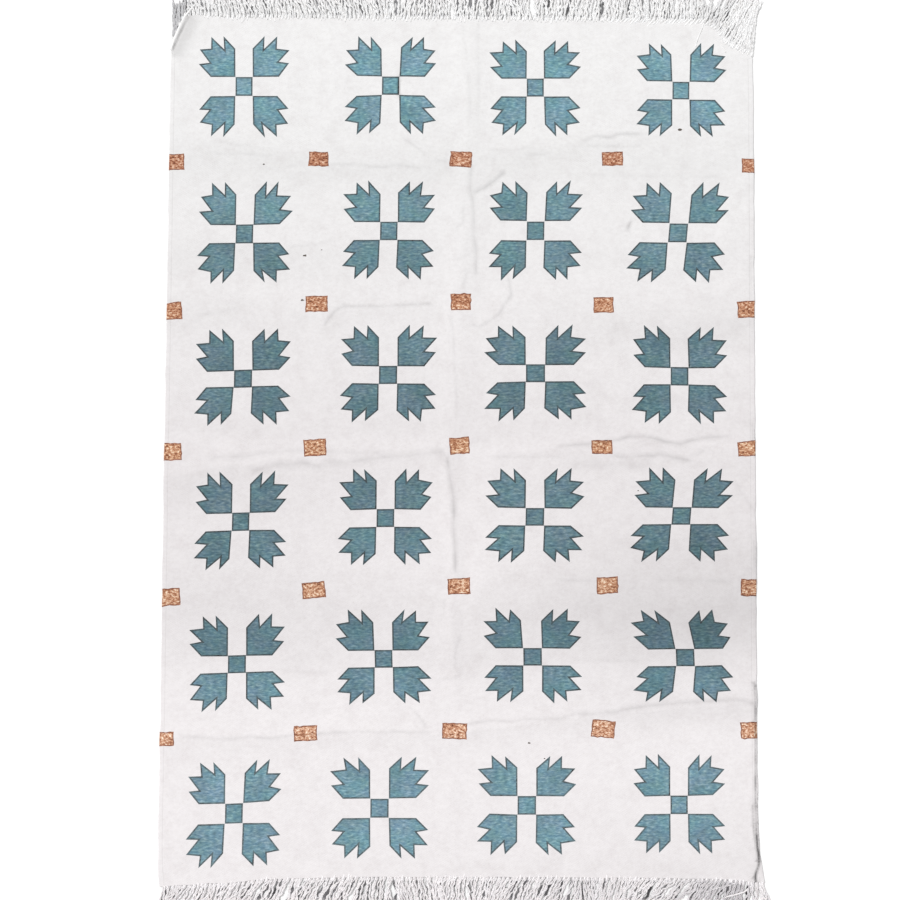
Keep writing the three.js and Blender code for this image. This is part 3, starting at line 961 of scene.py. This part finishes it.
def painted_yarn_light(r, s, which, low, light, open_share):
    """The light painted along a yarn as shade, least on a low one that lies open between its neighbours."""
    lit = light * r.uniform(0.9, 1.0)
    if not low:
        return np.full(YARN_RINGS, lit)
    in_gap = r.uniform(0, 1) < open_share * 0.75
    lit *= r.uniform(*(GAP_LIGHT[which] if in_gap else LOW_LIGHT))
    lit_ends = np.maximum(smoothstep(s, 42, 66), 1 - smoothstep(s, 3, 9))
    return lit + (TIP_LIGHT - lit) * lit_ends


def yarn_bundle(r, which, outward, root, rim_run, top):
    """The yarns of one bundle, each as its path, radii and light, and whether it is a low one."""
    out_angle = math.degrees(math.atan2(-rim_run[1], outward * rim_run[0]))
    base_lean, slant, open_share, light, over, long = (read(LEANS[which], root[0], k) for k in range(1, 7))
    calm = 1.0
    if abs(out_angle) > STEEP:
        slant = base_lean
        calm = 0.35
    elif long > LONG:
        calm = np.interp(root[0], *LONG_CALM)
    common = r.normal(0, 5) * calm
    parted = r.uniform(0, 1) < open_share * 0.5  # its two strands lie apart
    out = []
    for strand in range(-1, STRANDS):
        low = strand < 0
        own = common + r.normal(0, 5 if low else 8) * calm
        level = 0.0 if low else r.uniform(*STRAND_LEVELS[strand])
        side = r.normal(0, 0.8) if low else (strand - 0.5) * (PARTED_APART if parted else STRANDS_APART)
        inset = over * r.uniform(0.6, 1.3) + r.uniform(0.3, 2.0) + max(0.0, r.uniform(-7, 5))
        inset += 1.3 * max(0.0, math.sin(root[0] / 13.0) + math.sin(root[0] / 31.0 + 2)) ** 1.5
        length = FRINGE_LENGTH * long * r.uniform(0.84, 1.03)
        s = np.linspace(-inset, length, YARN_RINGS)
        in_cloth = 0.7 * out_angle + 0.3 * slant if over < 3 else slant
        core, across = strand_line(r, s, outward, root, in_cloth, slant, base_lean + own, calm)
        hump = r.uniform(0.2, 2.4)
        hump *= 0.5 + 0.5 * np.sin(s * TURN / r.uniform(26, 60) + r.uniform(0, 6.28))
        twist, phase = TURN / r.uniform(17, 30), r.uniform(0, TURN)
        gather = smoothstep(s, 1, GATHERED)
        laid = 1 - smoothstep(s, length - TIP_DROP, length)
        start = top - ROOT_DEPTH - WEAVE_DEPTH * (1 - smoothstep(s, -inset, -0.3))
        drop = smoothstep(s, -0.5, 12)
        for yarn in range(1 if low else YARNS):
            radius = (LOW_YARN_RADIUS if low else YARN_RADIUS) * r.uniform(0.85, 1.12)
            turn = s * twist + phase + yarn * TURN / YARNS
            splay = 0 * s if low else 1.0 + 0.9 * smoothstep(s, length - 22, length)
            root_side = side + (yarn - 0.5) * YARNS_APART
            off = root_side * (1 - gather) + (side * 0.55 + splay * np.cos(turn)) * gather
            rest = radius + (level + (0 if low else hump) + splay * (1 + np.sin(turn)) * 0.8) * laid
            path = np.column_stack([core + across * off[:, None], start * (1 - drop) + rest * drop])
            # the low yarns spread at the rim, where the warp ends are packed
            at_root = 1.3 - 0.3 * smoothstep(s, 5, 15) if low else 0.72 + 0.28 * smoothstep(s, -1, 9)
            radii = radius * at_root * (1 - 0.3 * smoothstep(s, length - 8, length))
            out.append((path, radii, painted_yarn_light(r, s, which, low, light, open_share), low))
    return out


def stray_yarn(radius, *points):
    line = np.array(points, float)
    total = sums(lengths(line))
    path = at_places(np.linspace(0, 1, YARN_RINGS) * total[-1], total, line)
    return path, np.full(YARN_RINGS, radius), np.ones(YARN_RINGS), True


def build_fringe(which, outward, seed):
    r = np.random.default_rng(seed)
    roots, runs = bundle_roots(r, which, outward)
    yarns = []
    for root, run, top in zip(roots, runs, lift(roots) + CLOTH_THICK):
        yarns += yarn_bundle(r, which, outward, root, run, top)
    yarns += [stray_yarn(*loose) for loose in LOOSE_YARN[which]]
    paths, radii, lights, lows = (np.array(column) for column in zip(*yarns))
    vertices, triangles = tubes(paths, radii, YARN_SIDES)
    # painted shade: the flanks of the yarns near the floor are darkened, but less at their loose ends
    height = vertices[:, 2].reshape(len(paths), YARN_RINGS, YARN_SIDES)
    reached = np.interp(height, *FLANK_LIGHT)
    loose = smoothstep(np.arange(YARN_RINGS) / YARN_RINGS, 0.55, 0.85)[None, :, None]
    reached = reached + (1 - reached) * loose
    reached[lows] = 1.0
    light = lights[:, :, None] * reached
    vertices = packed(vertices[:, :2], np.maximum(vertices[:, 2], 0.05))
    piece = new_mesh("yarn_" + which, vertices, triangles)
    shade = np.random.default_rng(seed + 1).uniform(0, 1, len(paths))
    set_floats(piece, "yarn_shade", np.repeat(shade, YARN_RINGS * YARN_SIDES))
    set_floats(piece, "painted_yarn_light", light.ravel())
    print("yarn_" + which, len(paths), "yarns", len(triangles), "triangles")
    return piece


# Materials
class Nodes:
    """A small helper that adds nodes to one material."""

    def __init__(self, name):
        self.material = bpy.data.materials.new(name)
        self.material.use_nodes = True
        self.tree = self.material.node_tree
        self.shader = self.tree.nodes["Principled BSDF"]
        self.place = self.add("TexCoord").outputs["Object"]

    def add(self, kind, **settings):
        node = self.tree.nodes.new("ShaderNode" + kind)
        for key, value in settings.items():
            setattr(node, key, value)
        return node

    def link(self, a, b):
        self.tree.links.new(a, b)

    def feed(self, node, values):
        """Links or sets inputs of a node."""
        for key, value in values.items():
            if isinstance(value, bpy.types.NodeSocket):
                self.link(value, node.inputs[key])
            else:
                node.inputs[key].default_value = value

    def surface(self, **values):
        """Settles inputs of the shader, named with _ for a space."""
        self.feed(self.shader, {key.replace("_", " "): value for key, value in values.items()})

    def math(self, operation, a, b=0.0, clamp=False):
        node = self.add("Math", operation=operation, use_clamp=clamp)
        self.feed(node, {0: a, 1: b})
        return node.outputs[0]

    def axes(self):
        node = self.add("SeparateXYZ")
        self.link(self.place, node.inputs[0])
        return node.outputs

    def stretched(self, scale):
        node = self.add("Mapping")
        self.feed(node, {"Vector": self.place, "Scale": scale})
        return node.outputs["Vector"]

    def noise(self, scale, detail=3.0, roughness=0.55):
        """Noise at a scale, or at one scale for each axis."""
        node = self.add("TexNoise")
        if isinstance(scale, tuple):
            self.feed(node, {"Vector": self.stretched(scale), "Scale": 1.0})
        else:
            self.feed(node, {"Vector": self.place, "Scale": scale})
        self.feed(node, {"Detail": detail, "Roughness": roughness})
        return node.outputs["Fac"]

    def ramp(self, value, *stops):
        """A ramp of colours, or of single values that all their channels share."""
        node = self.add("ValToRGB")
        self.link(value, node.inputs["Fac"])
        elements = node.color_ramp.elements
        while len(elements) < len(stops):
            elements.new(0.5)
        for element, (at, colour) in zip(elements, stops):
            element.position = at
            element.color = (*(colour if isinstance(colour, tuple) else (colour,) * 3), 1)
        return node.outputs["Color"]

    def along(self, *stops):
        """A ramp along the rug, from a metre toward the foot at 0 to a metre toward the head at 1."""
        return self.ramp(self.math("ADD", self.math("MULTIPLY", self.axes()["Y"], 0.5), 0.5), *stops)

    def mix(self, share, a, b, blend="MIX"):
        node = self.add("Mix", data_type="RGBA", blend_type=blend)
        self.feed(node, {"Factor": share, 6: a, 7: b})
        return node.outputs[2]

    def times(self, a, b, share=1.0):
        return self.mix(share, a, b, "MULTIPLY")

    def attribute(self, name):
        return self.add("Attribute", attribute_name=name).outputs["Fac"]

    def bump(self, height, distance, strength):
        node = self.add("Bump")
        self.feed(node, {"Height": height, "Distance": distance, "Strength": strength})
        return node.outputs["Normal"]

    def rough(self, scale, low, spread):
        return self.math("ADD", self.math("MULTIPLY", self.noise(scale), spread), low)


def srgb(r, g, b):
    """A colour given as 0 to 255 values of the screen."""
    out = []
    for v in (r, g, b):
        v /= 255
        out.append(v / 12.92 if v <= 0.04045 else ((v + 0.055) / 1.055) ** 2.4)
    return tuple(out)


WHITE = srgb(255, 255, 255)
WEFT_PITCH, WARP_PITCH = 2.3 * MM, 3.6 * MM
CLOTH_LIGHT = 0.93  # what the close weave gives back, against the loose yarn
SELVEDGE_IN, SELVEDGE_HALF = 10.5, 1.8  # the groove beside the side cords, from the side


def weave_height(n):
    """The plain weave: packed weft yarns that pass over and under the warp, a little uneven."""
    shift = n.math("MULTIPLY", n.noise(9.0, 2.0), 0.004)
    place = n.axes()
    weft, warp = (
        n.math("SINE", n.math("MULTIPLY", n.math("ADD", place[axis], shift), math.pi / pitch))
        for axis, pitch in (("Y", WEFT_PITCH), ("X", WARP_PITCH))
    )
    plain = n.math("MULTIPLY", n.math("MULTIPLY", weft, warp), 0.5)
    slub = n.math("MULTIPLY", n.noise((210, 560, 560)), 1.3)
    lumps = n.math("MULTIPLY", n.noise(300.0), 0.5)
    return n.math("ADD", plain, n.math("ADD", slub, lumps))


def selvedge(n):
    """The cords of the side edges: a groove beside each."""
    off = n.math("ABSOLUTE", n.math("SUBTRACT", n.attribute("from_side"), SELVEDGE_IN))
    return n.math("SUBTRACT", 1.0, n.math("DIVIDE", off, SELVEDGE_HALF), clamp=True)


def cloth_material(name, tint, roughness, strength, groove=0.0):
    n = Nodes(name)
    # painted shade: the creases' and the broad bands' light darkens the colour (at the marks it is the
    # cloth's own colour)
    light = n.math("MULTIPLY", n.attribute("painted_crease_shade_and_marks"), n.attribute("painted_band_shade"))
    colour = n.times(tint(n), n.math("MULTIPLY", light, CLOTH_LIGHT))
    height = weave_height(n)
    if groove:
        line = selvedge(n)
        height = n.math("SUBTRACT", height, n.math("MULTIPLY", line, 2.2))
        # painted shade in the groove beside the side cords
        colour = n.mix(n.math("MULTIPLY", line, groove), colour, (*srgb(196, 193, 190), 1))
    n.surface(
        Base_Color=colour,
        Roughness=n.rough(140.0, roughness - 0.06, 0.12),
        Specular_IOR_Level=0.22,
        Sheen_Weight=0.12,
        Sheen_Roughness=0.5,
        Normal=n.bump(height, 0.00035, strength),
    )
    return n.material


def ground_tint(n):
    base = n.along(
        (0.1, srgb(240, 236, 237)),
        (0.5, srgb(238, 234, 235)),
        (0.8, srgb(237, 236, 236)),
        (0.92, srgb(241, 240, 240)),
    )
    pale_greys = (0.3, srgb(246, 245, 245)), (0.5, srgb(252, 252, 252)), (0.72, WHITE)
    blots = n.ramp(n.noise(27.0, 6.0, 0.72), *pale_greys)
    pile = n.ramp(n.noise((110, 150, 150), 2.0), (0.3, srgb(244, 243, 243)), (0.66, WHITE))
    grain = n.ramp(n.noise(330.0, 2.0), (0.24, srgb(236, 233, 229)), (0.42, WHITE))
    return n.times(n.times(n.times(base, blots), pile, 0.55), grain, 0.4)


def teal_tint(n):
    heather = n.ramp(
        n.noise((105, 270, 270), 3.0, 0.5),
        (0.28, srgb(80, 110, 124)),
        (0.42, srgb(98, 130, 143)),
        (0.56, srgb(113, 145, 155)),
        (0.74, srgb(145, 174, 181)),
    )
    hue = n.ramp(n.noise((90, 130, 130), 2.0), (0.38, (0.89, 0.985, 1.03)), (0.62, (0.965, 1.0, 0.945)))
    # the yarn changes from one lot to another, more green or more blue, lighter or darker
    lot = n.ramp(n.noise(19.0, 2.0), (0.36, (0.915, 1.008, 0.972)), (0.64, (1.085, 0.992, 1.033)))
    patch = n.ramp(n.noise((13, 13, 39), 1.0), (0.36, 0.905), (0.64, 1.095))
    # lighter toward both ends
    along_tone = n.along(
        (0.13, (1.27, 1.17, 1.185)),
        (0.29, (1.0, 0.93, 0.94)),
        (0.43, (0.97, 0.88, 0.87)),
        (0.58, (0.92, 0.83, 0.82)),
        (0.73, (1.03, 0.965, 0.945)),
        (0.88, (1.28, 1.25, 1.25)),
    )
    # the broad bands' painted shade, deeper on the teal
    teal_band_shade = n.math("POWER", n.attribute("painted_band_shade"), 1.4)
    colour = heather
    for tone in (hue, lot, patch, along_tone, teal_band_shade):
        colour = n.times(colour, tone)
    return colour


def line_tint(n):
    line = n.ramp(
        n.noise((120, 260, 260), 4.0, 0.65),
        (0.3, srgb(54, 48, 46)),
        (0.45, srgb(72, 82, 86)),
        (0.6, srgb(90, 104, 108)),
        (0.75, srgb(122, 132, 132)),
    )
    worn = n.math("MULTIPLY", n.math("SUBTRACT", n.noise(34.0, 2.0), 0.42), 2.6, clamp=True)
    line = n.mix(n.math("MULTIPLY", worn, 0.45), line, (*srgb(100, 128, 136), 1))
    along_tone = n.along((0.13, 1.26), (0.29, 0.85), (0.43, 0.8), (0.58, 0.8), (0.73, 0.92), (0.88, 1.12))
    return n.times(line, along_tone)


def copper_tint(n):
    base = n.ramp(
        n.noise((170, 240, 240), 5.0, 0.72),
        (0.34, srgb(82, 48, 38)),
        (0.44, srgb(166, 106, 78)),
        (0.54, srgb(214, 162, 132)),
        (0.64, srgb(255, 232, 212)),
    )
    # the dye is lighter toward the foot end
    along_tone = n.along((0.2, (1.12, 1.22, 1.24)), (0.5, (1.03, 1.06, 0.98)), (0.8, (0.9, 0.84, 0.8)))
    return n.times(base, along_tone)


def edge_tint(n):
    browns = (0.3, srgb(86, 52, 42)), (0.5, srgb(150, 98, 76)), (0.7, srgb(212, 164, 138))
    return n.ramp(n.noise((280, 280, 280), 4.0, 0.7), *browns)


def fleck_tint(n):
    return n.ramp(n.noise(500.0), (0.3, srgb(60, 54, 50)), (0.7, srgb(120, 110, 102)))


def yarn_material():
    n = Nodes("fringe_yarn")
    shade = n.attribute("yarn_shade")
    base = n.ramp(shade, (0.0, srgb(243, 242, 241)), (0.4, srgb(250, 249, 249)), (1.0, srgb(254, 254, 254)))
    mottle = n.ramp(n.noise(120.0), (0.25, srgb(236, 234, 232)), (0.5, WHITE))
    end = n.along((0.2, (0.972, 0.940, 0.952)), (0.8, 1.0))
    # the shade painted on the yarns, between them, is a little blue
    light = n.ramp(n.attribute("painted_yarn_light"), (0.0, 0.0), (0.45, (0.436, 0.437, 0.456)), (1.0, 1.0))
    twist = n.add("TexWave", wave_type="BANDS", bands_direction="DIAGONAL")
    n.feed(twist, {"Vector": n.place, "Scale": 150.0, "Distortion": 1.5})
    n.surface(
        Base_Color=n.times(n.times(n.times(base, end), mottle, 0.6), light),
        Normal=n.bump(twist.outputs["Fac"], 0.0003, 0.4),
        Roughness=n.rough(90.0, 0.85, 0.1),
        Specular_IOR_Level=0.2,
        Sheen_Weight=0.15,
        # light passes through the loose cotton
        Subsurface_Weight=0.3,
        Subsurface_Radius=(1.0, 0.97, 0.94),
        Subsurface_Scale=0.0018,
    )
    return n.material


# The pieces
sheet = build_cloth()
for material in (
    cloth_material("cotton_ground", ground_tint, 0.9, 0.5, 0.13),
    cloth_material("teal_yarn", teal_tint, 0.86, 0.6),
    cloth_material("teal_line", line_tint, 0.86, 0.6),
    cloth_material("copper_yarn", copper_tint, 0.84, 0.9),
    cloth_material("copper_edge", edge_tint, 0.86, 0.9),
    cloth_material("dark_fleck", fleck_tint, 0.9, 0.4),
):
    sheet.data.materials.append(material)
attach(sheet, "root")
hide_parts("rug_cloth")

yarn = yarn_material()
for which, outward, seed in (("head", 1, 101), ("foot", -1, 202)):
    fringe = build_fringe(which, outward, seed)
    fringe.data.materials.append(yarn)
    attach(fringe, "root")
    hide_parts("fringe_" + which)

# Floor, light and camera
FLOOR_HALF, FLOOR_DROP = 12.0, 0.0002
floor_mesh = bpy.data.meshes.new("floor")
floor_mesh.from_pydata([(x * FLOOR_HALF, y * FLOOR_HALF, 0) for x, y in BOX], [], [(0, 1, 2, 3)])
floor = bpy.data.objects.new("floor", floor_mesh)
floor.location.z = -FLOOR_DROP
bpy.context.scene.collection.objects.link(floor)
pale = Nodes("pale_floor")
pale.surface(
    Base_Color=pale.ramp(pale.noise(2.0), (0.3, 0.93), (0.7, 0.96)),
    Roughness=0.9,
    Specular_IOR_Level=0.1,
)
floor_mesh.materials.append(pale.material)

scene = bpy.context.scene
scene.view_settings.view_transform = "Standard"
scene.view_settings.look = "None"
world = bpy.data.worlds.new("soft_room")
scene.world = world
world.use_nodes = True
sky = world.node_tree.nodes["Background"]
sky.inputs["Color"].default_value = (1, 1, 1, 1)
sky.inputs["Strength"].default_value = 0.63

lamp = bpy.data.lights.new("soft_window", "SUN")
lamp.energy = 1.96
lamp.angle = math.radians(20)
light = bpy.data.objects.new("soft_window", lamp)
light.location = (-1.5, 1.1, 3.0)
light.rotation_euler = (-light.location).to_track_quat("-Z", "Y").to_euler()
scene.collection.objects.link(light)

# The photograph looks straight down but for a slight tip toward the foot, which widens it
PHOTO_PIXELS, MM_PER_PIXEL, MIDDLE_COLUMN, MIDDLE_ROW = 900, 2.085, 457.5, 449.0
CAMERA_AWAY, CAMERA_TIP, SENSOR = 3.0, 2.5, 36
camera_data = bpy.data.cameras.new("camera")
camera_data.sensor_width = SENSOR
camera_data.lens = SENSOR * CAMERA_AWAY / (PHOTO_PIXELS * MM_PER_PIXEL * MM)
camera = bpy.data.objects.new("camera", camera_data)
scene.collection.objects.link(camera)
scene.camera = camera
aim = Vector((SHIFT[0] * MM, SHIFT[1] * MM, CLOTH_THICK * MM))
tip = math.radians(CAMERA_TIP)
back = Vector((0, -math.sin(tip), math.cos(tip)))
camera.location = aim + back * CAMERA_AWAY
camera.rotation_euler = (tip, 0, 0)
camera_data.shift_x = 0.5 - MIDDLE_COLUMN / PHOTO_PIXELS
camera_data.shift_y = MIDDLE_ROW / PHOTO_PIXELS - 0.5
camera_data.clip_start = 0.05
camera_data.clip_end = 60
